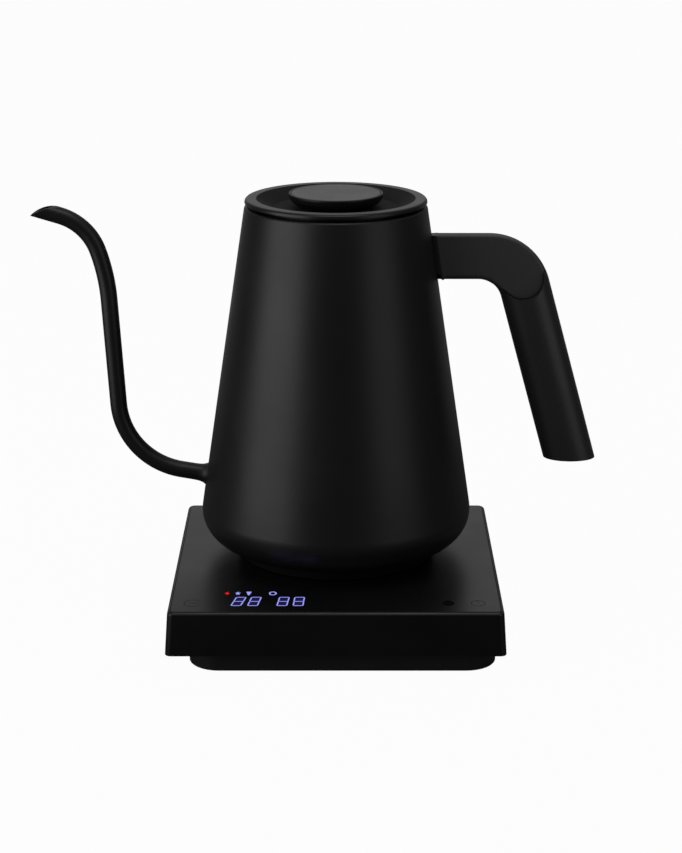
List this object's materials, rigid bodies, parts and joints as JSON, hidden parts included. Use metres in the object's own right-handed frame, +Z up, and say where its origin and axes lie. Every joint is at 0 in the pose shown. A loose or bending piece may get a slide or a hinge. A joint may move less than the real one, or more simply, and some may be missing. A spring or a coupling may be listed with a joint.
{
  "type": "electric kettle",
  "caption": "Gooseneck electric kettle with a tapered body, lift-off lid and side handle, on a square powered base with a display and touch keys.",
  "frame": {"origin": "on the axis that the kettle turns about, at the flat underside of the base tray", "axes": "+Z up along the kettle's axis, +X towards the handle, -Y towards the display side"},
  "size_m": [0.2809, 0.165, 0.2169],
  "materials": {
    "black_plastic": "fine matte",
    "coated_steel": "satin powder coat",
    "bare_steel": "brushed",
    "aluminium": "mill finish",
    "grip_plastic": "soft matte",
    "knob_plastic": "matte",
    "knob_face": "satin grey",
    "plate_gloss": "smooth satin gloss",
    "display_gloss": "dark window",
    "tray_plastic": "matte",
    "dark_rubber": "matte",
    "pale_silicone": "matte",
    "contact_brass": "bright",
    "circuit_board": "solder mask",
    "component_plastic": "moulded",
    "component_ceramic": "plain"
  },
  "bodies": {
    "base": {"base_housing": "black_plastic", "top_plate": "plate_gloss", "base_tray": "tray_plastic", "foot_1": "dark_rubber", "foot_2": "dark_rubber", "foot_3": "dark_rubber", "foot_4": "dark_rubber", "tray_screw_1": "bare_steel", "tray_screw_2": "bare_steel", "tray_screw_3": "bare_steel", "tray_screw_4": "bare_steel", "base_coupler": "black_plastic", "pin_contact": "contact_brass", "ring_contact": "contact_brass", "power_board": "circuit_board", "relay": "component_plastic", "transformer": "component_plastic", "capacitor": "component_plastic", "heat_sink": "aluminium", "fuse": "component_ceramic", "terminal_block": "component_plastic", "control_board": "circuit_board", "display_module": "display_gloss", "buzzer": "component_plastic", "touch_spring_1": "bare_steel", "touch_spring_2": "bare_steel", "touch_spring_3": "bare_steel", "cord_gland": "dark_rubber", "cord_clamp": "component_plastic"},
    "coupler": {"kettle_coupler": "black_plastic", "coupler_pin": "contact_brass", "coupler_ring": "contact_brass"},
    "kettle": {"vessel": "coated_steel", "vessel_floor": "bare_steel", "spout": "coated_steel", "handle_mount": "grip_plastic", "handle_tongue": "bare_steel", "handle_arm": "grip_plastic", "handle_grip": "grip_plastic", "handle_end_cap": "grip_plastic", "handle_screw_1": "bare_steel", "handle_screw_2": "bare_steel", "heat_spreader": "aluminium", "heating_element": "bare_steel", "dry_boil_cutout": "component_ceramic", "temperature_sensor": "bare_steel", "sensor_seal": "pale_silicone", "coupler_bracket": "bare_steel", "under_cover": "tray_plastic", "under_cover_screw_1": "bare_steel", "under_cover_screw_2": "bare_steel", "under_cover_screw_3": "bare_steel"},
    "lid": {"lid_cap": "coated_steel", "lid_liner": "bare_steel", "lid_gasket": "pale_silicone", "lid_knob": "knob_plastic", "knob_disc": "knob_face", "lid_screw": "bare_steel"}
  },
  "joints": [
    {"name": "kettle_lift", "type": "slide", "parent": "base", "child": "coupler", "axis": [0, 0, 1], "range_m": [0, 0.06]},
    {"name": "kettle_swivel", "type": "hinge", "parent": "coupler", "child": "kettle", "pos_m": [0, 0, 0.04], "axis": [0, 0, 1], "continuous": true},
    {"name": "lid_lift", "type": "slide", "parent": "kettle", "child": "lid", "axis": [0, 0, 1], "range_m": [0, 0.04]}
  ]
}
